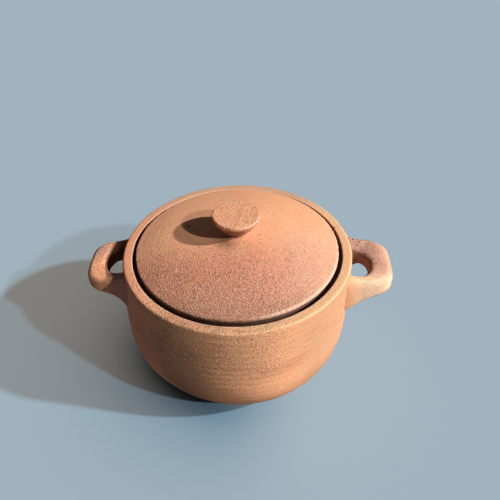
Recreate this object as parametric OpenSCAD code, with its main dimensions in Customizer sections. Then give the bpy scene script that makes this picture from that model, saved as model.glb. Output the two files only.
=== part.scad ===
// Clay casserole pot: a thrown bowl with a gallery, two luted loop handles, a loose domed lid and its knob.
// Millimetres, +Z up. The origin is the middle of the flat base, and the handles lie along X.

/* [Bowl] */
// Diameter over the lip
rim_d = 200; // [160:1:260]
// Height from the table to the top of the lip
pot_h = 126; // [100:1:170]
// Diameter of the flat base
base_d = 130; // [110:1:150]
// Height at which the round belly turns into the wall
belly_h = 62; // [50:1:75]
// How much further the lip stands out than the wall at the top of the belly
lip_flare = 1; // [0:0.5:4]
// Thickness of the wall
wall_t = 9; // [6:0.5:11]
// Thickness of the floor
floor_t = 10; // [7:0.5:14]
// Radius of the round inside corner between wall and floor
floor_fillet = 14; // [8:1:20]
// Radius of the outer edge of the lip
lip_round = 2; // [1:0.5:6]
// Radius of the inner edge of the lip
lip_inner_round = 1.2; // [0.6:0.2:2]
// Radius of the edge round the base
base_round = 3; // [1:0.5:4]

/* [Gallery] */
// Width of the flat top of the lip, from its outside to the gallery
lip_w = 8.6; // [8:0.2:12]
// Depth of the ledge below the lip
ledge_depth = 9; // [4:0.5:12]
// Width of the ledge that the lid sits on
ledge_w = 9.4; // [7:0.2:14]
// Thickness of the ledge at its inner edge
ledge_t = 4; // [3:0.5:7]
// Height over which the underside of the ledge runs out into the wall
ledge_taper = 16; // [10:1:24]

/* [Handles] */
// How far the left handle stands out from the wall
left_out = 34; // [28:0.5:60]
// Width of the left handle where it leaves the wall, seen from above
left_w = 54.5; // [50:0.5:76]
// Width of the left handle's outer bar, seen from above
left_bar_w = 16.5; // [10:0.5:24]
// How far the right handle stands out from the wall
right_out = 37; // [28:0.5:60]
// Width of the right handle where it leaves the wall, seen from above
right_w = 61.5; // [50:0.5:76]
// Width of the right handle's outer bar, seen from above
right_bar_w = 20; // [10:0.5:24]
// How far the right handle's hole lies off its middle, towards the front
right_hole_shift = 4; // [0:0.5:8]
// Turn of the right handle towards the back, in degrees
right_turn = 0.7; // [-5:0.1:5]
// Width of the finger hole along the wall
hole_w = 37; // [28:0.5:40]
// Thickness of a handle from top to underside
handle_t = 17; // [12:0.5:20]
// Depth of the top of a handle below the lip
handle_drop = 13; // [10:0.5:24]
// How far an arm spreads to each side where it is luted to the wall
root_spread = 2; // [0:0.5:5]
// How far an arm climbs up the wall at its root
root_rise = 3; // [0:0.5:6]
// How far an arm runs down the wall at its root
root_fall = 15.5; // [4:0.5:18]
// Length over which an arm opens out towards the wall
root_len = 21; // [12:0.5:30]

/* [Lid] */
// Gap all round between the lid's edge and the gallery
lid_gap = 3.6; // [1:0.2:5]
// Height of the lid's shoulder above the lip
lid_edge_rise = 2.8; // [2:0.2:8]
// Height of the lid's upright edge
lid_edge_h = 3; // [2:0.2:6]
// How far the lid's side runs in from its edge to its seat
lid_undercut = 3.2; // [0:0.2:4]
// Radius of the lid's shoulder
lid_edge_round = 1; // [0.6:0.2:4]
// Height of the top of the dome above the lip
lid_rise = 19; // [14:0.5:28]
// Thickness of the lid's dome
lid_t = 8; // [5:0.5:10]
// Width of the flat seat ring under the lid's edge
lid_seat_w = 10; // [8:0.5:14]
// Diameter of the steam vent at the top of the lid
vent_d = 4.2; // [3:0.2:8]
// Diameter of the steam vent at the underside, since it is pierced from above with a tapering tool
vent_tip_d = 3.2; // [2.4:0.2:6]
// Distance of the steam vent from the axis
vent_r = 44.6; // [34:0.2:56]
// Direction of the steam vent, from the right handle towards the back
vent_angle = 163.5; // [0:0.5:360]

/* [Knob] */
// Diameter of the flat top
knob_d = 40.5; // [32:0.5:50]
// Height of the knob from its seat to its top
knob_h = 19.4; // [15:0.2:26]
// Diameter of the neck
neck_d = 16; // [12:0.5:20]
// Diameter of the foot that is luted to the lid
knob_foot_d = 19; // [18:0.5:26]
// Height of the knob's edge below its top
knob_edge_h = 2.6; // [2:0.2:6]
// Radius of the knob's top edge
knob_round = 1.2; // [0.6:0.2:2]

/* [Hidden] */
$fn = 96;

// How far a cutting shape runs past the face that it opens
past = 2;

rim_r = rim_d / 2;
base_r = base_d / 2;
wall_r = rim_r - lip_flare;

// The belly is an arc that leaves the base and ends upright at the wall
belly_in = wall_r - base_r;
belly_r = (belly_in * belly_in + belly_h * belly_h) / (2 * belly_in);
belly_x = wall_r - belly_r;
inner_belly_r = belly_r - wall_t;

// The inside corner touches the floor and the inner belly
fillet_z = floor_t + floor_fillet;
fillet_x = belly_x + sqrt(pow(inner_belly_r - floor_fillet, 2) - pow(belly_h - fillet_z, 2));
fillet_end = inner_belly_r / (inner_belly_r - floor_fillet);
fillet_end_x = belly_x + (fillet_x - belly_x) * fillet_end;
fillet_end_z = belly_h + (fillet_z - belly_h) * fillet_end;

// Gallery and throat
gallery_r = rim_r - lip_w;
throat_r = gallery_r - ledge_w;
ledge_z = pot_h - ledge_depth;

// Lid: a dome that runs smoothly into a rounded shoulder
lid_r = gallery_r - lid_gap;
shoulder_x = lid_r - lid_edge_round;
shoulder_z = pot_h + lid_edge_rise - lid_edge_round;
edge_foot_z = pot_h + lid_edge_rise - lid_edge_h;
dome_top_z = pot_h + lid_rise;
dome_above = dome_top_z - shoulder_z;
dome_drop = dome_above - lid_edge_round;
dome_r = (pow(shoulder_x, 2) + pow(dome_above, 2) - pow(lid_edge_round, 2)) / (2 * dome_drop);
dome_z = dome_top_z - dome_r;
shoulder_reach = dome_r / (dome_r - lid_edge_round);
shoulder_top = [shoulder_x * shoulder_reach, dome_z + (shoulder_z - dome_z) * shoulder_reach];
lid_inner_r = lid_r - lid_seat_w;

// The vent runs through the dome and a little past both its faces
vent_top_z = dome_z + sqrt(pow(dome_r, 2) - pow(vent_r, 2));
vent_low_z = dome_z + sqrt(pow(dome_r - lid_t, 2) - pow(vent_r, 2));
vent_widening = past * (vent_d - vent_tip_d) / (vent_top_z - vent_low_z);

// The knob sits on a flat land scraped on top of the dome
knob_foot_r = knob_foot_d / 2;
knob_seat_z = dome_z + sqrt(pow(dome_r, 2) - pow(knob_foot_r, 2));
knob_r = knob_d / 2;
neck_r = neck_d / 2;
neck_fillet = knob_foot_r - neck_r;

// Handles: a squared outline round an oval hole, with a rounded section between the two
handle_mid_z = pot_h - handle_drop - handle_t / 2;
outline_power = 4.1;
hole_power = 2.4;
section_power = 2.6;
loop_steps = 44;
section_steps = 20;

// A disc with its centre at x, z of a profile
module disc(x, z, r) {
    translate([x, z])
        circle(r = r);
}

// The part of a profile that lies between two heights, right of the axis
module between(z0, z1) {
    intersection() {
        children();
        translate([0, z0])
            square([rim_d, z1 - z0]);
    }
}

// Filled outline of the bowl, without its hollow
module bowl_outline() {
    difference() {
        union() {
            between(0, belly_h)
                disc(belly_x, belly_h, belly_r);
            polygon([
                [0, 0],
                [base_r - base_round, 0],
                [base_r, belly_h],
                [0, belly_h]
            ]);
        }
        base_corner();
    }
    polygon([
        [0, belly_h],
        [wall_r, belly_h],
        [rim_r, pot_h - lip_round],
        [rim_r - lip_round, pot_h],
        [0, pot_h]
    ]);
    disc(rim_r - lip_round, pot_h - lip_round, lip_round);
}

// The sharp corner that is rubbed off where the belly meets the base
module base_corner() {
    round_x = belly_x + sqrt(pow(belly_r - base_round, 2) - pow(belly_h - base_round, 2));
    out = belly_r / (belly_r - base_round);
    touch_x = belly_x + (round_x - belly_x) * out;
    touch_z = belly_h + (base_round - belly_h) * out;
    difference() {
        polygon([
            [round_x, -past],
            [base_r + past, -past],
            [base_r + past, touch_z],
            [touch_x, touch_z],
            [round_x, base_round]
        ]);
        disc(round_x, base_round, base_round);
    }
}

// Hollow of the bowl: round floor, wall, underside of the ledge, throat and gallery
module bowl_hollow() {
    between(fillet_end_z, belly_h)
        disc(belly_x, belly_h, inner_belly_r);
    disc(fillet_x, fillet_z, floor_fillet);
    polygon([
        [0, floor_t],
        [fillet_x, floor_t],
        [fillet_x, fillet_z],
        [fillet_end_x, fillet_end_z],
        [wall_r - wall_t, belly_h],
        [rim_r - wall_t, ledge_z - ledge_t - ledge_taper],
        [throat_r, ledge_z - ledge_t],
        [throat_r, ledge_z],
        [gallery_r, ledge_z],
        [gallery_r, pot_h - lip_inner_round],
        [gallery_r + lip_inner_round, pot_h],
        [gallery_r + lip_inner_round, pot_h + past],
        [0, pot_h + past]
    ]);
}

module pot_bowl() {
    color("#d9905f")
        rotate_extrude()
            difference() {
                bowl_outline();
                bowl_hollow();
            }
}

// Point of a squared oval with half axes of 1, at a polar angle
function oval(angle, power) =
    let (reach = pow(pow(abs(cos(angle)), power) + pow(abs(sin(angle)), power), -1 / power))
    [reach * cos(angle), reach * sin(angle)];

// Distance from the axis at which a handle of that width starts, inside the wall
function root_r(width) = sqrt(pow(wall_r, 2) - pow(width / 2 + root_spread, 2)) - past;

// Point of a handle's outline or of its hole, seen from above
function loop_point(angle, power, start, reach, width) =
    let (p = oval(angle, power))
    [start + (reach - start) * p[0], width / 2 * p[1]];

// Share of the root's flare at a distance from the axis: 1 at the wall, 0 past the root's length
function flare(x) =
    let (share = min(1, max(0, 1 - (x - wall_r) / root_len)))
    share * share;

// One ring of a handle's section, from its hole to its outline
function loop_ring(angle, reach, width, bar_w, hole_shift) =
    let (
        start = root_r(width),
        outer = loop_point(angle, outline_power, start, reach, width),
        inner = loop_point(angle, hole_power, start, reach - bar_w, hole_w) - [0, hole_shift],
        middle = (outer + inner) / 2,
        half = (outer - inner) / 2,
        open = flare(middle[0]),
        side = half * (1 + root_spread * open / norm(half)),
        up = handle_t / 2 + root_rise * open,
        down = handle_t / 2 + root_fall * open
    )
    [for (i = [0 : section_steps - 1])
        let (
            s = oval(360 * i / section_steps, section_power),
            z = s[1] > 0 ? s[1] * up : s[1] * down
        )
        [middle[0] + side[0] * s[0], middle[1] + side[1] * s[0], handle_mid_z + z]
    ];

// A closed skin over rings that follow one another
module loft(rings) {
    count = len(rings[0]);
    last = (len(rings) - 1) * count;
    sides = [
        for (k = [0 : len(rings) - 2], i = [0 : count - 1])
            let (a = k * count, b = a + count, j = (i + 1) % count)
            each [[a + i, b + j, a + j], [a + i, b + i, b + j]]
    ];
    first_cap = [for (i = [1 : count - 2]) [0, i, i + 1]];
    last_cap = [for (i = [1 : count - 2]) [last, last + i + 1, last + i]];
    polyhedron(points = [for (r = rings) each r], faces = concat(sides, first_cap, last_cap));
}

// A loop handle to the right, cut to the round of the wall that it is luted to
module handle(reach, width, bar_w, hole_shift) {
    difference() {
        loft([
            for (k = [0 : loop_steps])
                loop_ring(-90 + 180 * k / loop_steps, reach, width, bar_w, hole_shift)
        ]);
        rotate_extrude()
            bowl_outline();
    }
}

module left_handle() {
    color("#c98a63")
        mirror([1, 0, 0])
            handle(wall_r + left_out, left_w, left_bar_w, 0);
}

module right_handle() {
    color("#c98a63")
        rotate([0, 0, right_turn])
            handle(wall_r + right_out, right_w, right_bar_w, right_hole_shift);
}

// Filled outline of the lid, from its flat seat to its dome
module lid_outline() {
    between(shoulder_top[1], dome_top_z)
        disc(0, dome_z, dome_r);
    disc(shoulder_x, shoulder_z, lid_edge_round);
    polygon([
        [0, ledge_z],
        [lid_r - lid_undercut, ledge_z],
        [lid_r, edge_foot_z],
        [lid_r, shoulder_z],
        [shoulder_x, shoulder_z],
        shoulder_top,
        [0, shoulder_top[1]]
    ]);
}

// Hollow under the lid, inside its seat ring
module lid_hollow() {
    intersection() {
        disc(0, dome_z, dome_r - lid_t);
        translate([0, ledge_z - past])
            square([lid_inner_r, dome_r]);
    }
}

module lid() {
    color("#cf8a66")
        difference() {
            rotate_extrude()
                difference() {
                    lid_outline();
                    lid_hollow();
                    translate([0, knob_seat_z])
                        square([knob_foot_r + past, lid_rise]);
                }
            rotate([0, 0, vent_angle])
                translate([vent_r, 0, vent_low_z - past])
                    cylinder(
                        d1 = vent_tip_d - vent_widening,
                        d2 = vent_d + vent_widening,
                        h = vent_top_z - vent_low_z + 2 * past
                    );
        }
}

// Half section of the knob above its seat: foot, hollow neck, cone and rounded edge
module knob_outline() {
    edge_z = knob_h - knob_edge_h;
    difference() {
        polygon([
            [0, 0],
            [knob_foot_r, 0],
            [neck_r, neck_fillet],
            [knob_r, edge_z],
            [knob_r, knob_h - knob_round],
            [knob_r - knob_round, knob_h],
            [0, knob_h]
        ]);
        disc(knob_foot_r, neck_fillet, neck_fillet);
    }
    disc(knob_r - knob_round, knob_h - knob_round, knob_round);
}

module lid_knob() {
    color("#d2936b")
        translate([0, 0, knob_seat_z])
            rotate_extrude()
                knob_outline();
}

pot_bowl();
left_handle();
right_handle();
lid();
lid_knob();
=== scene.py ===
import bpy
import math
from mathutils import Matrix, Quaternion, Vector


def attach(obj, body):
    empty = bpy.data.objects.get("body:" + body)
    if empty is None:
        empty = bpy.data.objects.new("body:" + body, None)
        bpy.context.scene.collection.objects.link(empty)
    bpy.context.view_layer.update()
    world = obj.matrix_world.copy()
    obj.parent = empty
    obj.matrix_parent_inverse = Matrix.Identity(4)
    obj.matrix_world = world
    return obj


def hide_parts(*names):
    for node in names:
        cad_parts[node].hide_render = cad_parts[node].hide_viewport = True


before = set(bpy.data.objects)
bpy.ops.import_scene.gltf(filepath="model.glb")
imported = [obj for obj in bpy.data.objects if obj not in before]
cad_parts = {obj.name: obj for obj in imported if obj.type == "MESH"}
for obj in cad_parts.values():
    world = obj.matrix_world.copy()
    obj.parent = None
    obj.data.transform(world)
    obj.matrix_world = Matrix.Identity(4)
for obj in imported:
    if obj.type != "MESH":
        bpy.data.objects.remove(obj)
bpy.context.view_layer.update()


# The bowl: coarse, sandy stoneware, thrown on the wheel in one piece with the gallery ledge inside its lip.
# Its left wall sagged outwards while the clay was soft. It is fired without glaze, so the flame has left it
# ochre on the right and brown and gritty in front.
# Some of its colour across the front and on the left is painted light and shade.

MM = 0.001
lip_r, pot_h, lip_round, lip_fall, lip_soft = 99.7, 126.0, 2.0, 0.1, 0.8
wall_r, wall_t, wall_sag = 98.7, 9.0, 4.2
belly_r, belly_x, belly_h = 73.4, 25.3, 62.0
belly_full, full_power = 1.2, 0.55
base_edge_x, base_round = 64.0, 3.0
foot_in_r, foot_out_r, foot_hollow = 58.0, 60.0, 0.5
floor_z, floor_round, floor_edge_x = 10.0, 14.0, 58.7
gallery_r, throat_r, ledge_round = 91.4, 82.0, 1.0
ledge_z, ledge_t, ledge_taper = 117.0, 4.0, 16.0
outer_pitch, outer_ridge = 7, 0.10
inner_pitch, inner_ridge = 9, 0.35
bowl_spokes = 216
thrown_crease = math.radians(50)


def arc(x, z, r, start, end, steps):
    """Points round a centre in a half section, in millimetres; 0 degrees is outwards and 90 is up."""
    turns = [math.radians(start + (end - start) * i / steps) for i in range(steps + 1)]
    return [(x + r * math.cos(t), z + r * math.sin(t)) for t in turns]


def run(start, end, step):
    """Points of a straight stretch of a half section, without its two ends."""
    count = max(1, round(math.dist(start, end) / step))
    return [tuple(a + (b - a) * i / count for a, b in zip(start, end)) for i in range(1, count)]


def swollen(points, low, high, depth, power):
    """A belly made fuller by that depth between two heights, most of all below the middle of them."""
    rise = [max(0, (z - low) / (high - low)) ** power for r, z in points]
    return [(r + depth * math.sin(math.pi * t), z) for (r, z), t in zip(points, rise)]


def rippled(points, pitch, depth):
    """The ridges that fingers leave in a turning wall: a small wave outwards that follows the height."""
    wave = [depth * math.sin(math.tau * z / pitch + 0.9 * math.sin(z / 11)) for r, z in points]
    return [(r + w, z) for (r, z), w in zip(points, wave)]


def throw(name, outline, spokes):
    """Draws a half section from the axis round to the axis again, and spins it into a closed body."""
    bpy.ops.object.select_all(action="DESELECT")
    bpy.ops.mesh.primitive_plane_add(size=MM)
    piece = bpy.context.object
    piece.name = piece.data.name = name
    bpy.ops.object.mode_set(mode="EDIT")
    bpy.ops.mesh.select_mode(type="VERT")
    bpy.ops.mesh.select_all(action="SELECT")
    bpy.ops.mesh.merge(type="CENTER")
    bpy.ops.transform.translate(value=(outline[0][0] * MM, 0, outline[0][1] * MM))
    for (r0, z0), (r1, z1) in zip(outline, outline[1:]):
        step = ((r1 - r0) * MM, 0, (z1 - z0) * MM)
        bpy.ops.mesh.extrude_vertices_move(TRANSFORM_OT_translate={"value": step})
    bpy.ops.mesh.select_all(action="SELECT")
    bpy.ops.mesh.spin(steps=spokes, angle=math.tau, center=(0, 0, 0), axis=(0, 0, 1))
    bpy.ops.mesh.select_all(action="SELECT")
    bpy.ops.mesh.remove_doubles(threshold=MM / 100)
    bpy.ops.mesh.normals_make_consistent(inside=False)
    bpy.ops.object.mode_set(mode="OBJECT")
    return piece


def ramp(value, low, high):
    """0 at low and 1 at high, with a soft step between, whichever of them is the larger."""
    t = min(1, max(0, (value - low) / (high - low)))
    return t * t * (3 - 2 * t)


def push(piece, name, depth, share, **settings):
    """Moves the points of a piece by that depth in millimetres; share says how far each of them gives way."""
    group = piece.vertex_groups.new(name=name)
    for v in piece.data.vertices:
        group.add([v.index], share(v.co / MM), "REPLACE")
    shift = piece.modifiers.new(name, "DISPLACE")
    shift.strength = depth * MM
    shift.vertex_group = name
    for key, value in settings.items():
        setattr(shift, key, value)
    bpy.context.view_layer.objects.active = piece
    bpy.ops.object.modifier_apply(modifier=name)
    piece.vertex_groups.clear()


def press(piece, name, size, depth, share):
    """Leaves the uneven touch of the hand on a piece, in dents of about that size."""
    touch = bpy.data.textures.new(name, "CLOUDS")
    touch.noise_scale = size * MM
    touch.noise_depth = 1
    push(piece, name, depth, share, texture=touch, texture_coords="LOCAL", mid_level=0.5)


belly_low = math.degrees(math.atan2(base_round - belly_h, base_edge_x - belly_x))
hollow_low = math.degrees(math.atan2(floor_z + floor_round - belly_h, floor_edge_x - belly_x))
foot_in = (foot_in_r, foot_hollow)
foot = [(0, foot_hollow), *run((0, foot_hollow), foot_in, 6), foot_in, (foot_out_r, 0)]
foot += arc(base_edge_x, base_round, base_round, -90, belly_low, 6)
outside = arc(belly_x, belly_h, belly_r, belly_low, 0, 44)[1:]
outside = swollen(outside, base_round, belly_h, belly_full, full_power)
outside += run((wall_r, belly_h), (lip_r, pot_h - lip_round), 1.6)
lip_in_z = pot_h - lip_fall
lip = arc(lip_r - lip_round, pot_h - lip_round, lip_round, 0, 88, 8)
lip += run((lip_r - lip_round, pot_h), (gallery_r + lip_soft, lip_in_z), 1.2)
lip += arc(gallery_r + lip_soft, lip_in_z - lip_soft, lip_soft, 92, 180, 6)
gallery = run((gallery_r, lip_in_z - lip_soft), (gallery_r, ledge_z + ledge_round), 1.6)
gallery += arc(gallery_r - ledge_round, ledge_z + ledge_round, ledge_round, 0, -90, 4)
gallery += run((gallery_r - ledge_round, ledge_z), (throat_r + ledge_round, ledge_z), 2)
gallery += arc(throat_r + ledge_round, ledge_z - ledge_round, ledge_round, 90, 180, 4)
ledge_under = (throat_r, ledge_z - ledge_t)
ledge_foot = (lip_r - wall_t, ledge_z - ledge_t - ledge_taper)
gallery += [ledge_under, *run(ledge_under, ledge_foot, 2)]
inside = [ledge_foot, *run(ledge_foot, (wall_r - wall_t, belly_h), 1.8)]
inside += arc(belly_x, belly_h, belly_r - wall_t, 0, hollow_low, 34)
inside += arc(floor_edge_x, floor_z + floor_round, floor_round, hollow_low, -90, 8)[1:]
well = [*run((floor_edge_x, floor_z), (0, floor_z), 4), (0, floor_z)]
thrown = foot + rippled(outside, outer_pitch, outer_ridge) + lip + gallery
thrown += rippled(inside, inner_pitch, inner_ridge) + well
bowl = throw("clay_bowl", thrown, bowl_spokes)
push(bowl, "wall sag", depth=-wall_sag, direction="X", mid_level=0,
     share=lambda p: ramp(p.x, 0, -60) * ramp(p.z, 12, 44) * ramp(p.z, 108, 72))
press(bowl, "wall wobble", size=70, depth=1.5, share=lambda p: ramp(p.z, 4, 40) * ramp(p.z, 122, 104))
press(bowl, "lip wobble", size=30, depth=0.5, share=lambda p: ramp(p.z, 118, 124) * 0.8)
bpy.ops.object.shade_smooth_by_angle(angle=thrown_crease)


class Wash:
    """One value or colour in the nodes of a clay; sums and products of washes add their Math nodes."""

    def __init__(self, tree, socket):
        self.tree = tree
        self.socket = socket

    def node(self, kind, settings, sockets, out=0):
        """A node of that kind: its settings first, then the values or links of its sockets."""
        made = self.tree.nodes.new(kind)
        for key, value in settings.items():
            setattr(made, key, value)
        for key, value in sockets.items():
            if isinstance(value, Wash):
                self.tree.links.new(value.socket, made.inputs[key])
            else:
                made.inputs[key].default_value = value
        return Wash(self.tree, made.outputs[out])

    def math(self, operation, first, second):
        return self.node("ShaderNodeMath", {"operation": operation}, {0: first, 1: second})

    def __add__(self, other):
        return self.math("ADD", self, other)

    def __sub__(self, other):
        return self.math("SUBTRACT", self, other)

    def __rsub__(self, other):
        return self.math("SUBTRACT", other, self)

    def __mul__(self, other):
        return self.math("MULTIPLY", self, other)

    __radd__ = __add__
    __rmul__ = __mul__

    def band(self, low, high):
        """0 at low and 1 at high, with a soft step between, whichever of them is the larger."""
        ends = {"Value": self, "From Min": low, "From Max": high}
        return self.node("ShaderNodeMapRange", {"interpolation_type": "SMOOTHSTEP"}, ends)

    def stain(self, colour, share):
        """This colour with another laid over it."""
        return self.node("ShaderNodeMix", {"data_type": "RGBA"}, {0: share, 6: self, 7: colour}, out=2)

    def cloud(self, size, seed, detail=2.0, rough=0.5):
        """Soft patches of about that size in millimetres, at this place."""
        sockets = {"Vector": self, "W": seed, "Scale": 1 / (size * MM), "Detail": detail, "Roughness": rough}
        return self.node("ShaderNodeTexNoise", {"noise_dimensions": "4D"}, sockets)

    def stretched(self, x, y, z):
        return self.node("ShaderNodeVectorMath", {"operation": "MULTIPLY"}, {0: self, 1: (x, y, z)})

    def near(self, x, y, z, reach):
        """1 at a point given in millimetres and 0 past that reach from it."""
        point = (x * MM, y * MM, z * MM)
        away = self.node("ShaderNodeVectorMath", {"operation": "DISTANCE"}, {0: self, 1: point}, out=1)
        return away.band(reach * MM, 0)

    def axes(self):
        """The place's x, y and z in millimetres, and its distance from the pot's axis."""
        large = self.stretched(1 / MM, 1 / MM, 1 / MM)
        x, y, z = (large.node("ShaderNodeSeparateXYZ", {}, {0: large}, out=i) for i in range(3))
        flat = large.stretched(1, 1, 0)
        return x, y, z, flat.node("ShaderNodeVectorMath", {"operation": "LENGTH"}, {0: flat}, out=1)


def clay(name):
    """A new clay, and the place on the object that its marks are read from."""
    made = bpy.data.materials.new(name)
    made.use_nodes = True
    tree = made.node_tree
    return made, Wash(tree, tree.nodes.new("ShaderNodeTexCoord").outputs["Object"])


def painted(place, ground, *layers):
    """A ground colour with stains laid over it in turn, each of them given with its share."""
    colour = place.node("ShaderNodeMix", {"data_type": "RGBA"}, {0: 0.0, 6: ground}, out=2)
    for stain, share in layers:
        colour = colour.stain(stain, share)
    return colour


def grit(place, colour, coarse, dark, pale):
    """Sand in the clay: dark and pale grains of about a millimetre, more of them where coarse is high."""
    more = coarse * 0.05
    dark_grain = (place.cloud(size=1.05, seed=3.1, detail=1.0) + more).band(0.52, 0.68)
    pale_grain = (place.cloud(size=1.00, seed=8.4, detail=1.0) + more).band(0.53, 0.70)
    colour = colour.stain(dark, dark_grain * (0.12 + coarse * 0.42))
    colour = colour.stain(pale, pale_grain * (0.08 + coarse * 0.44))
    skin = place.cloud(size=1.2, seed=5.5, rough=0.6) * (0.40 + coarse)
    bumps = pale_grain * (0.10 + coarse * 0.35)
    pores = dark_grain * (0.10 + coarse * 0.40)
    return colour, skin + bumps - pores


def fire(made, colour, mottle, height, depth):
    """Gives the clay its matt skin: colour, uneven roughness, and a relief of that depth in millimetres."""
    skin = made.node_tree.nodes["Principled BSDF"]
    skin.inputs["Specular IOR Level"].default_value = 0.22
    rough = 0.80 + mottle * 0.14
    relief = height.node("ShaderNodeBump", {}, {"Strength": 1.0, "Distance": depth * MM, "Height": height})
    for name, wash in {"Base Color": colour, "Roughness": rough, "Normal": relief}.items():
        made.node_tree.links.new(wash.socket, skin.inputs[name])


ochre = (0.68, 0.36, 0.205, 1)
tan = (0.62, 0.305, 0.16, 1)
rust = (0.56, 0.22, 0.11, 1)
umber = (0.26, 0.13, 0.075, 1)
apricot = (0.95, 0.46, 0.245, 1)
coral = (0.95, 0.42, 0.26, 1)
lip_red = (0.68, 0.30, 0.158, 1)
lip_gold = (0.88, 0.50, 0.27, 1)
lip_grey = (0.575, 0.345, 0.23, 1)
lip_coral = (0.88, 0.42, 0.235, 1)
# A pale colour: wear on edges, and on the lid's and knob's front right also a painted highlight.
wear_and_highlight_pale = (0.82, 0.57, 0.42, 1)
# A near black, used for painted shade in gaps, holes and shadows, and for the dark nick in the lip.
soot_and_painted_shade = (0.11, 0.06, 0.04, 1)
dark_sand = (0.15, 0.07, 0.045, 1)
pale_sand = (0.88, 0.58, 0.40, 1)

bowl_clay, place = clay("bowl clay")
x, y, z, out = place.axes()
drift = place.cloud(size=38, seed=1.2, detail=3.0, rough=0.55)
mottle = place.cloud(size=9, seed=2.3, detail=3.0, rough=0.6)
rings = place.stretched(0.15, 0.15, 1).cloud(size=4.5, seed=6.6)
front = y.band(-30, -80)
# Painted light: the lit front of the belly, right of where the light falls away, is made paler.
painted_light_front = front * x.band(72, 34) * x.band(-40, -20) * z.band(10, 50)
# Painted shade: the front left of the belly, where the light falls away, is made darker.
painted_shade_left_cheek = front * x.band(-12, -34) * x.band(-76, -48) * z.band(8, 24) * z.band(108, 92)
# Painted shade: the lower front of the belly, on the left, is made darker.
painted_shade_low_front = front * x.band(34, -30) * z.band(92, 50)
# Painted light: the shaded left wall below the lip is made paler and pinker.
painted_light_left_wall = x.band(-45, -76) * z.band(120, 112)
scorch = y.band(-40, -85) * z.band(58, 88) * z.band(116, 98) * x.band(36, 4)
scorch = scorch * (drift + mottle * 0.4).band(0.42, 0.78)
flame_line = front * z.band(66, 74) * z.band(86, 78) * x.band(12, 26) * x.band(64, 48)
lip_top = z.band(124.0, 125.2) * out.band(91.2, 92.2)
lip_front = lip_top * y.band(-60, -85) * x.band(40, 0)
lip_edge = z.band(124.6, 125.4) * out.band(93.0, 92.0) * out.band(90.9, 91.6)
lip_nick = place.near(86.7, 30.7, 125.2, reach=2.6)
painted_shade_gap = out.band(93, 91.7) * z.band(125.0, 122.5) * z.band(108, 114)
chip = (place.near(38.4, -90, 50, reach=5) + place.cloud(size=2.2, seed=4.4, detail=1.0)).band(1.05, 1.25)
gritty = y.band(-20, -80) * z.band(45, 80) * x.band(75, 10)
colour = painted(
    place, ochre,
    (tan, z.band(64, 26)),
    # The mottle gives real red-brown patches; the share on the left is painted shade, the shaded left made
    # redder and darker.
    (rust, mottle.band(0.46, 0.72) * 0.30 + x.band(-30, -92) * 0.20),
    (apricot, painted_light_front * 0.95),
    (umber, painted_shade_left_cheek * 0.55),
    (umber, painted_shade_low_front * 0.60),
    (coral, painted_light_left_wall * 0.6),
    (umber, scorch * 0.20),
    (rust, flame_line * 0.35),
    (lip_red, lip_top * x.band(20, -60)),
    (lip_gold, lip_top * x.band(-60, 50)),
    (lip_grey, lip_top * y.band(50, 85) * 0.8),
    (umber, lip_front * mottle.band(0.46, 0.62) * 0.35),
    (lip_coral, lip_top * place.near(-68, -68, 126, reach=38) * 0.8),
    (wear_and_highlight_pale, lip_edge * 0.45),
    (rust, rings.band(0.5, 0.75) * z.band(112, 96) * 0.20),
    (pale_sand, chip))
colour, height = grit(place, colour, gritty * 0.8 + lip_top * 0.2, dark_sand, pale_sand)
# Painted shade: the narrow gap of the gallery, under the lid's edge, is darkened; the nick in the lip is
# darkened with the same colour.
colour = colour.stain(soot_and_painted_shade, painted_shade_gap * 0.85 + lip_nick * 0.9)
fire(bowl_clay, colour, mottle, height + rings * 0.6, depth=0.50)
bowl.data.materials.clear()
bowl.data.materials.append(bowl_clay)
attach(bowl, "pot")
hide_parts("pot_bowl")


# The handles: loops pulled from a thick coil of the same clay and luted to the wall with slip under the lip.
# The top is pressed flat, the hole is cut with a finger's room, and each root is smeared down onto the wall.

hole_w, handle_t, handle_drop = 37.0, 17.0, 13.0
root_r, root_sunk, root_len = 99.0, 2.0, 21.0
root_spread, root_rise, root_fall = 2.0, 3.0, 11.625
smear_r, smear_len, smear_rise = 95.0, 10.0, 0.2
outline_power, hole_power, corner = 4.1, 2.4, 0.64
loop_steps, corner_steps = 60, 9
handle_crease = math.radians(60)


def squared(turn, power):
    """Point of an oval that is squared off, with half axes of 1."""
    c, s = math.cos(turn), math.sin(turn)
    reach = (abs(c) ** power + abs(s) ** power) ** (-1 / power)
    return Vector((reach * c, reach * s))


def station(turn, side, reach, width, bar_w, hole_shift, skew, smear, sweep):
    """Middle, half width, half height and heading of a handle's section at a turn round its loop."""
    start = math.sqrt(root_r ** 2 - (width / 2 + root_spread) ** 2) - root_sunk
    outer, inner = squared(turn, outline_power), squared(turn, hole_power)
    outer = Vector((start + (reach - start) * outer.x, width / 2 * outer.y))
    inner = Vector((start + (reach - bar_w - start) * inner.x, hole_w / 2 * inner.y - hole_shift))
    middle, half = (outer + inner) / 2, (outer - inner) / 2
    wide = max(0, min(1, 1 - (middle.x - root_r) / root_len)) ** 2
    slip = smear * max(0, min(1, 1 - (middle.x - smear_r) / smear_len)) ** 2
    middle += half.normalized() * slip / 2
    half_w = half.length + root_spread * wide + slip / 2
    up = handle_t / 2 + root_rise * wide + slip * smear_rise
    down = handle_t / 2 + root_fall * max(0, 1 - (middle.x - root_r) / root_len) ** sweep
    mid_z = pot_h - handle_drop - handle_t / 2 + (up - down) / 2
    spot = Matrix.Rotation(skew, 3, "Z") @ Vector((side * middle.x, middle.y, mid_z))
    return spot, half_w, (up + down) / 2, math.atan2(half.y, side * half.x) + skew


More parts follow.
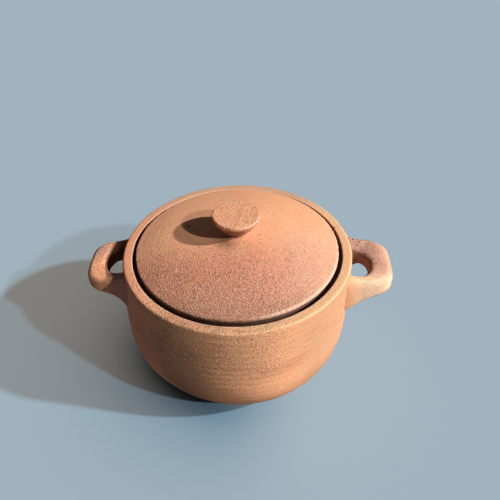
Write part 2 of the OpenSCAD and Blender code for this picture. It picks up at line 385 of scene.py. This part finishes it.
def loop_handle(name, reach, **loop):
    """Pushes a rounded square along the loop, turned and sized at every step."""
    turns = [math.radians(-90 + 180 * k / loop_steps) for k in range(loop_steps + 1)]
    stations = [station(t, reach=reach, **loop) for t in turns]
    bpy.ops.object.select_all(action="DESELECT")
    bpy.ops.mesh.primitive_plane_add(size=2 * MM)
    piece = bpy.context.object
    piece.name = piece.data.name = name
    bpy.ops.object.mode_set(mode="EDIT")
    bpy.ops.mesh.select_all(action="SELECT")
    bpy.ops.mesh.bevel(offset=corner * MM, segments=corner_steps, affect="VERTICES")
    bpy.ops.mesh.select_all(action="SELECT")
    bpy.ops.transform.rotate(value=math.pi / 2, orient_axis="X", center_override=(0, 0, 0))
    spot, width, height, heading = Vector((0, 0, 0)), 1.0, 1.0, 0.0
    for k, (next_spot, next_width, next_height, next_heading) in enumerate(stations):
        move = {"value": tuple((next_spot - spot) * MM)}
        if k == 0:
            bpy.ops.transform.translate(**move)
        else:
            bpy.ops.mesh.extrude_region_move(TRANSFORM_OT_translate=move)
        pivot = tuple(next_spot * MM)
        bpy.ops.transform.rotate(value=heading - next_heading, orient_axis="Z", center_override=pivot)
        bpy.ops.transform.resize(
            value=(next_width / width, 1, next_height / height), center_override=pivot,
            orient_matrix=Matrix.Rotation(next_heading, 3, "Z"), orient_matrix_type="GLOBAL")
        spot, width, height, heading = next_spot, next_width, next_height, next_heading
    bpy.ops.mesh.select_all(action="SELECT")
    bpy.ops.mesh.normals_make_consistent(inside=False)
    bpy.ops.object.mode_set(mode="OBJECT")
    press(piece, name + " touch", size=14, depth=1.5,
          share=lambda p: ramp(abs(p.x), 97, 110) * ramp(abs(p.x), reach - 0.5, reach - 7))
    bpy.ops.object.shade_smooth_by_angle(angle=handle_crease)
    return piece


left_handle = loop_handle(
    "clay_left_handle", side=-1, reach=132.8, width=54.5, bar_w=16.5, hole_shift=0.0, skew=0.0,
    smear=2.0, sweep=3.6)
right_handle = loop_handle(
    "clay_right_handle", side=1, reach=135.8, width=61.5, bar_w=20.0, hole_shift=4.0, skew=math.radians(0.7),
    smear=1.2, sweep=1.5)


def finger_hole(x, y, middle, half):
    """1 inside an oval hole as it is seen from above, with a soft edge."""
    across, along = ((axis - at) * (1 / size) for axis, at, size in zip((x, y), middle, half))
    return (across * across + along * along).band(1.08, 0.90)


biscuit = (0.68, 0.35, 0.195, 1)
orange = (0.98, 0.435, 0.235, 1)
mauve = (0.50, 0.26, 0.21, 1)
blush = (0.80, 0.45, 0.32, 1)
cream = (0.96, 0.64, 0.45, 1)
shell = (0.99, 0.68, 0.465, 1)
honey = (1.0, 0.53, 0.30, 1)
painted_shade_mauve = (0.55, 0.28, 0.24, 1)

handle_clay, place = clay("handle clay")
x, y, z, out = place.axes()
drift = place.cloud(size=18, seed=4.1)
mottle = place.cloud(size=7, seed=3.3, detail=3.0, rough=0.6)
speckle = place.cloud(size=2.4, seed=5.1, detail=1.0).band(0.48, 0.66)
pits = place.cloud(size=2.1, seed=9.7, detail=0.0).band(0.66, 0.72)
right_side, left_side = x.band(-20, 20), x.band(20, -20)
flash = right_side * z.band(105, 112) * (y + drift * 22).band(-4, 13) * (x + mottle * 8).band(135, 122)
left_corner = left_side * place.near(-127, 12, 112, reach=18) * mottle.band(0.20, 0.52)
left_scuff = left_side * place.near(-114, 14, 113, reach=8) * mottle.band(0.40, 0.56)
# The root of the left handle next to the wall, which lies in the pot's shadow.
left_root_shade = left_side * x.band(-113, -107)
left_back_painted_shadow = left_root_shade * y.band(4, 12) * y.band(27, 23) * z.band(103, 110)
right_hole_shade = right_side * finger_hole(x, y, middle=(91.4, -4), half=(28.5, 23.0))
left_hole_shade = left_side * finger_hole(x, y, middle=(-92.6, 0), half=(25.2, 21.213))
colour = painted(
    place, biscuit,
    (orange, left_side * 0.9),
    (rust, left_side * mottle.band(0.46, 0.70) * 0.4),
    (rust, left_side * speckle * 0.6),
    (mauve, left_corner * 0.85),
    (blush, right_side * z.band(98, 108) * 0.8),
    # Partly painted light: the front of the right handle is made creamier and paler than its shape and the
    # lamps give, and its upper front face carries a painted highlight.
    (cream, right_side * y.band(-9, -24) * z.band(90, 100) * mottle.band(0.18, 0.50) * 0.95),
    (shell, right_side * y.band(-14, -24) * z.band(111, 104) * 0.95),
    # Partly painted light: near the wall the right handle's roots are made paler, hiding the dimmer shade of
    # the crease, and closer to the wall's colour.
    (honey, right_side * out.band(117, 101) * y.band(6, -10) * 0.85),
    # Painted shade: the shaded front root of the left handle is made a darker, greyer mauve.
    (painted_shade_mauve, left_root_shade * y.band(-6, -14) * 0.8),
    (mauve, flash * mottle.band(0.26, 0.52) * 0.9),
    (wear_and_highlight_pale, left_scuff * 0.8))
coarse = flash * 0.75 + left_side * 0.75 + right_side * 0.25
colour, height = grit(place, colour, coarse, dark_sand, pale_sand)
colour = colour.stain(dark_sand, pits * (flash * 0.85 + 0.10))
# Painted shade: the insides of both finger holes are darkened, more on the left.
colour = colour.stain(soot_and_painted_shade, (right_hole_shade * 0.74 + left_hole_shade * 0.95) * (z + mottle * 2).band(113.6, 112.2))
# Painted shadow: the lip's shadow on the top of the left handle's back root.
colour = colour.stain(soot_and_painted_shade, left_back_painted_shadow * 0.85)
fire(handle_clay, colour, mottle, height - pits * flash, depth=0.45)
for handle, node in ((left_handle, "left_handle"), (right_handle, "right_handle")):
    handle.data.materials.clear()
    handle.data.materials.append(handle_clay)
    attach(handle, "pot")
    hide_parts(node)


# The lid: a thrown, domed disc of the same clay that lies loose on the ledge, on a flat seat ring under its
# edge. The steam vent is pierced from above with a tapering tool while the clay is soft.

lid_r, lid_t, lid_top = 87.8, 8.0, 145.0
seat_in_r, seat_out_r, seat_in_round, seat_out_round = 77.8, 84.6, 0.8, 1.0
shoulder_r, shoulder_z, edge_foot_z = 1.0, 127.8, 125.8
turn_pitch, turn_ridge = 6.5, 0.03
vent_r, vent_turn, vent_z = 44.6, math.radians(163.5), 140.0
vent_top_r, vent_tip_r, awl_len, awl_sides = 2.1, 1.6, 16.0, 32
lid_spokes = 300

shoulder_x = lid_r - shoulder_r
dome_rise = lid_top - shoulder_z
dome_r = (shoulder_x ** 2 + dome_rise ** 2 - shoulder_r ** 2) / (2 * (dome_rise - shoulder_r))
dome_z = lid_top - dome_r
dome_edge = math.degrees(math.atan2(shoulder_z - dome_z, shoulder_x))
under_edge = math.degrees(math.acos(seat_in_r / (dome_r - lid_t)))
underside = arc(0, dome_z, dome_r - lid_t, 90, under_edge, 36)
seat = run(underside[-1], (seat_in_r, ledge_z), 1.6)
seat += arc(seat_in_r + seat_in_round, ledge_z + seat_in_round, seat_in_round, 180, 270, 3)
seat += run((seat_in_r + seat_in_round, ledge_z), (seat_out_r - seat_out_round, ledge_z), 2)
seat += arc(seat_out_r - seat_out_round, ledge_z + seat_out_round, seat_out_round, -90, -20, 4)
edge = [*run(seat[-1], (lid_r, edge_foot_z), 1.6), (lid_r, edge_foot_z)]
edge += run((lid_r, edge_foot_z), (lid_r, shoulder_z), 0.7)
edge += arc(shoulder_x, shoulder_z, shoulder_r, 0, dome_edge, 6)
dome = arc(0, dome_z, dome_r, dome_edge, 90, 60)[1:]
dome = [(r, h + turn_ridge * math.sin(math.tau * r / turn_pitch) * ramp(r, 0, 20)) for r, h in dome]
lid = throw("clay_lid", underside + seat + edge + dome, lid_spokes)
press(lid, "lid wobble", size=60, depth=0.9, share=lambda p: ramp(p.z, 129, 135))
press(lid, "edge chips", size=2.6, depth=0.7,
      share=lambda p: ramp(p.z, 126.0, 127.4) * ramp(p.z, 130.6, 129.4))

bpy.ops.object.select_all(action="DESELECT")
vent_at = Vector((vent_r * math.cos(vent_turn), vent_r * math.sin(vent_turn), vent_z)) * MM
bpy.ops.mesh.primitive_cone_add(
    vertices=awl_sides, radius1=vent_tip_r * MM, radius2=vent_top_r * MM, depth=awl_len * MM, location=vent_at)
awl = bpy.context.object
pierce = lid.modifiers.new("vent", "BOOLEAN")
pierce.object = awl
pierce.solver = "EXACT"
bpy.context.view_layer.objects.active = lid
bpy.ops.object.modifier_apply(modifier="vent")
bpy.data.objects.remove(awl)
lid.select_set(True)
bpy.ops.object.shade_smooth_by_angle(angle=thrown_crease)

peach = (0.85, 0.40, 0.22, 1)
brick = (0.68, 0.265, 0.165, 1)
plum = (0.48, 0.23, 0.16, 1)
pink = (0.71, 0.41, 0.28, 1)
painted_light_amber = (0.98, 0.48, 0.275, 1)
straw = (0.97, 0.60, 0.36, 1)
red_sand = (0.20, 0.08, 0.055, 1)

lid_clay, place = clay("lid clay")
x, y, z, out = place.axes()
drift = place.cloud(size=30, seed=1.7, detail=3.0, rough=0.55)
mottle = place.cloud(size=7, seed=2.9, detail=3.0, rough=0.6)
pits = place.cloud(size=2.3, seed=9.7, detail=0.0).band(0.70, 0.75)
slope = drift * 34 - y
tool_marks = {"W": out * 0.4, "Scale": 1.0, "Detail": 2.0}
turning = out.node("ShaderNodeTexNoise", {"noise_dimensions": "1D"}, tool_marks)
turning = turning.band(0.46, 0.66) * place.cloud(size=15, seed=6.1).band(0.42, 0.62)
turning = turning * y.band(-12, 14) * x.band(0, 24)
front_edge = out.band(70, 87) * y.band(-40, -80)
# The lid's front side, just above the rim: darkened as scorch and as painted shade.
front_lip_scorch_and_shade = z.band(129.6, 128.0) * y.band(-30, -70) * x.band(40, -10)
# The pale line on the lid's edge on the front right, towards the lamps: wear, and also a painted highlight.
rubbed_edge_and_highlight = out.band(85.6, 86.6) * z.band(126.8, 127.6) * x.band(5, 40) * y.band(30, -30)
red_patches = place.near(-39, -49, 137, reach=20) + place.near(-2, -49, 139, reach=20)
# A darker, mottled patch on the lid just in front of and left of the knob's foot.
smear = place.near(-8, -14, 144.3, reach=14) * mottle.band(0.22, 0.54)
left_chip = place.near(-48, -40, 136, reach=4.5) + place.cloud(size=2.4, seed=4.4, detail=1.0) * 0.9
front_chip = place.near(19, -45, 138, reach=6) + mottle * 0.8
chips = left_chip.band(0.95, 1.15) + front_chip.band(0.9, 1.2) * 0.35
gritty = slope.band(0, 72) * x.band(95, 20)
colour = painted(
    place, peach,
    (brick, slope.band(8, 68) * 0.95),
    (plum, slope.band(62, 104) * 0.75),
    (pink, x.band(15, 70) * (y + drift * 20).band(50, -10) * 0.75),
    # Painted light: the left and back left of the dome, which slope away from the lamps, are made paler.
    (painted_light_amber, x.band(5, -50) * y.band(-45, 5)),
    (brick, slope.band(10, 45) * mottle.band(0.42, 0.66) * 0.35),
    (umber, front_edge * mottle.band(0.30, 0.60) * 0.45),
    (ochre, place.near(5, -21, 143, reach=14) * 0.6),
    (rust, red_patches * mottle.band(0.35, 0.6) * 0.8),
    (straw, turning * 0.45),
    (umber, front_lip_scorch_and_shade * 0.6),
    (wear_and_highlight_pale, rubbed_edge_and_highlight * 0.85),
    (pale_sand, chips * 0.8))
colour, height = grit(place, colour, 0.15 + gritty * 0.85, red_sand, pale_sand)
colour = colour.stain(dark_sand, pits * (0.10 + gritty * 0.15))
colour = colour.stain(umber, smear * 0.95)
# Painted shade: the lid's edge below the top of the rim, down in the gallery's gap, is darkened.
colour = colour.stain(soot_and_painted_shade, z.band(127.4, 126.0) * 0.8)
fire(lid_clay, colour, mottle, height - pits * 0.4, depth=0.45)
lid.data.materials.clear()
lid.data.materials.append(lid_clay)
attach(lid, "lid")
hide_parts("lid")


# The knob: turned from the same clay, flat on top over a narrow neck, and luted to the middle of the lid.
# Years of fingers have rubbed its rim pale; on its front right, towards the lamps, the pale rim is also a
# painted highlight.

knob_r, knob_h, knob_edge_h, knob_round = 20.25, 19.4, 2.6, 1.2
neck_r, knob_foot_r, knob_sunk, knob_low = 8.0, 9.5, 0.8, 0.05
slip_w, slip_out, slip_round = 1.2, 0.6, 0.4
flank_bulge, flank_in, flank_gap = 1.8, 0.6, 0.5
brim_round, brim_rise, cap_dip = 0.8, 0.2, 0.25
knob_spokes = 120

knob_z = dome_z + math.sqrt(dome_r ** 2 - knob_foot_r ** 2)
neck_round = knob_foot_r - neck_r
brim_z = knob_h - knob_edge_h
foot_edge = (knob_foot_r + slip_w, -knob_sunk)
under = [(0, -knob_sunk), *run((0, -knob_sunk), foot_edge, 3), foot_edge]
neck = arc(knob_foot_r + slip_out, neck_round, neck_round + slip_round, -84, -180, 12)
flank = run((neck_r, neck_round), (knob_r - flank_in, brim_z - flank_gap), 1.5)
flank = [(r + flank_bulge * math.sin(math.pi * (r - neck_r) / (knob_r - neck_r)), h) for r, h in flank]
brim = arc(knob_r - brim_round, brim_z + brim_rise, brim_round, -50, 0, 4)
brim += arc(knob_r - knob_round, knob_h - knob_round, knob_round, 0, 88, 8)
cap_middle = (0, knob_h - cap_dip)
cap = [*run((knob_r - knob_round, knob_h), cap_middle, 1.6), cap_middle]
turned = [(r, h + knob_z - knob_low) for r, h in under + neck + flank + brim + cap]
knob = throw("clay_knob", turned, knob_spokes)
press(knob, "knob wobble", size=22, depth=0.7, share=lambda p: ramp(p.z, 163.2, 158) * ramp(p.z, 145, 149))
bpy.ops.object.shade_smooth_by_angle(angle=thrown_crease)

terracotta = (0.91, 0.42, 0.225, 1)
knob_dark_sand = (0.27, 0.105, 0.065, 1)
knob_pale_sand = (0.97, 0.62, 0.42, 1)

knob_clay, place = clay("knob clay")
x, y, z, out = place.axes()
mottle = place.cloud(size=6, seed=7.7, detail=3.0, rough=0.6)
# The pale rim on the knob's front right, towards the lamps: wear, and also a painted highlight.
rubbed_rim_and_highlight = z.band(161.8, 162.6) * out.band(18.8, 19.5) * x.band(-6, 12) * y.band(4, -10)
shaded_flank = z.band(161.8, 159.5) * (x - y * 0.3).band(24, 4)
colour = painted(
    place, terracotta,
    (brick, mottle.band(0.40, 0.68) * 0.45),
    (wear_and_highlight_pale, rubbed_rim_and_highlight * 0.5))
colour, height = grit(place, colour, 0.8 + mottle * 0.4, knob_dark_sand, knob_pale_sand)
colour = colour.stain(umber, shaded_flank * 0.8)
fire(knob_clay, colour, mottle, height, depth=0.40)
knob.data.materials.clear()
knob.data.materials.append(knob_clay)
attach(knob, "lid")
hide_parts("lid_knob")


# The table: one plain, pale, cool slab that the pot stands on, with the pot's shadow and nothing else on it.
# Close to the pot, on the side away from the lamps, it loses some of its pale sheen, a painted shadow.

table_size, table_corner, corner_sides = 12, 3, 12
shade_reach = 0.25
slab_bounce = (0.22, 0.21, 0.21, 1)
slab_blue = (0.13, 0.24, 0.34, 1)
slab_sheen = (0.22, 0.21, 0.19, 1)
no_sheen = (0.0, 0.0, 0.0, 1)

bpy.ops.object.select_all(action="DESELECT")
bpy.ops.mesh.primitive_plane_add(size=table_size)
table = bpy.context.object
table.name = "table_top"
bpy.ops.object.mode_set(mode="EDIT")
bpy.ops.mesh.select_all(action="SELECT")
bpy.ops.mesh.bevel(offset=table_corner, segments=corner_sides, affect="VERTICES")
bpy.ops.object.mode_set(mode="OBJECT")

table_stone, place = clay("table stone")
x = place.axes()[0]
stone = table_stone.node_tree.nodes["Principled BSDF"]
to_camera = place.node("ShaderNodeLightPath", {}, {}, out="Is Camera Ray")
openness = place.node("ShaderNodeAmbientOcclusion", {"samples": 16}, {"Distance": shade_reach}, out="AO")
# Painted shadow: close to the pot and away from the lamps, where little of the room reaches the floor, its
# glow is taken away.
shaded = (1 - openness.band(0.35, 1.0)) * x.band(70, -30)
colour = painted(place, slab_bounce, (slab_blue, to_camera))
sheen = painted(place, no_sheen, (slab_sheen, to_camera * (1 - shaded)))
stone.inputs["Roughness"].default_value = 0.7
stone.inputs["Specular IOR Level"].default_value = 0.0
stone.inputs["Emission Strength"].default_value = 1.0
for name, wash in {"Base Color": colour, "Emission Color": sheen}.items():
    table_stone.node_tree.links.new(wash.socket, stone.inputs[name])
table.data.materials.append(table_stone)


# The light and the camera: two lamps side by side to the right, like the panes of a window, of which the far
# one is twice as strong, in a dim warm room. The camera looks down at the pot from the front, as one does at
# a table.

lamp_height, lamp_width = math.radians(34.7), math.radians(2)
daylight = (1.0, 0.97, 0.93)
dim_room = (0.048, 0.044, 0.046, 1)
pale_room = (0.45, 0.52, 0.57, 1)
eye, aim = Vector((26.39, -400.68, 465.0)) * MM, Vector((10.98, 0.42, 124.26)) * MM
eye_roll, eye_lens, eye_sensor = math.radians(-1.18), 43.2, 36

for name, turn, strength in (("near pane", -32.0, 0.58), ("far pane", -9.1, 1.15)):
    bpy.ops.object.light_add(type="SUN", location=(0, 0, 2))
    lamp = bpy.context.object
    lamp.name = name
    level, turn = math.cos(lamp_height), math.radians(turn)
    towards = Vector((math.cos(turn) * level, math.sin(turn) * level, math.sin(lamp_height)))
    lamp.rotation_mode = "QUATERNION"
    lamp.rotation_quaternion = towards.to_track_quat("Z", "Y")
    lamp.data.energy = strength * math.pi
    lamp.data.angle = lamp_width
    lamp.data.color = daylight

room = bpy.data.worlds.new("room")
bpy.context.scene.world = room
room.use_nodes = True
air = Wash(room.node_tree, None)
rays = [air.node("ShaderNodeLightPath", {}, {}, out=name) for name in ("Is Camera Ray", "Is Glossy Ray")]
seen = air.math("MAXIMUM", *rays)
walls = painted(air, dim_room, (pale_room, seen))
room.node_tree.links.new(walls.socket, room.node_tree.nodes["Background"].inputs["Color"])

bpy.ops.object.camera_add(location=eye)
camera = bpy.context.object
camera.data.lens = eye_lens
camera.data.sensor_width = eye_sensor
camera.data.clip_start = 0.01
camera.rotation_mode = "QUATERNION"
camera.rotation_quaternion = (aim - eye).to_track_quat("-Z", "Y") @ Quaternion((0, 0, 1), eye_roll)
bpy.context.scene.camera = camera
bpy.context.scene.view_settings.view_transform = "Standard"
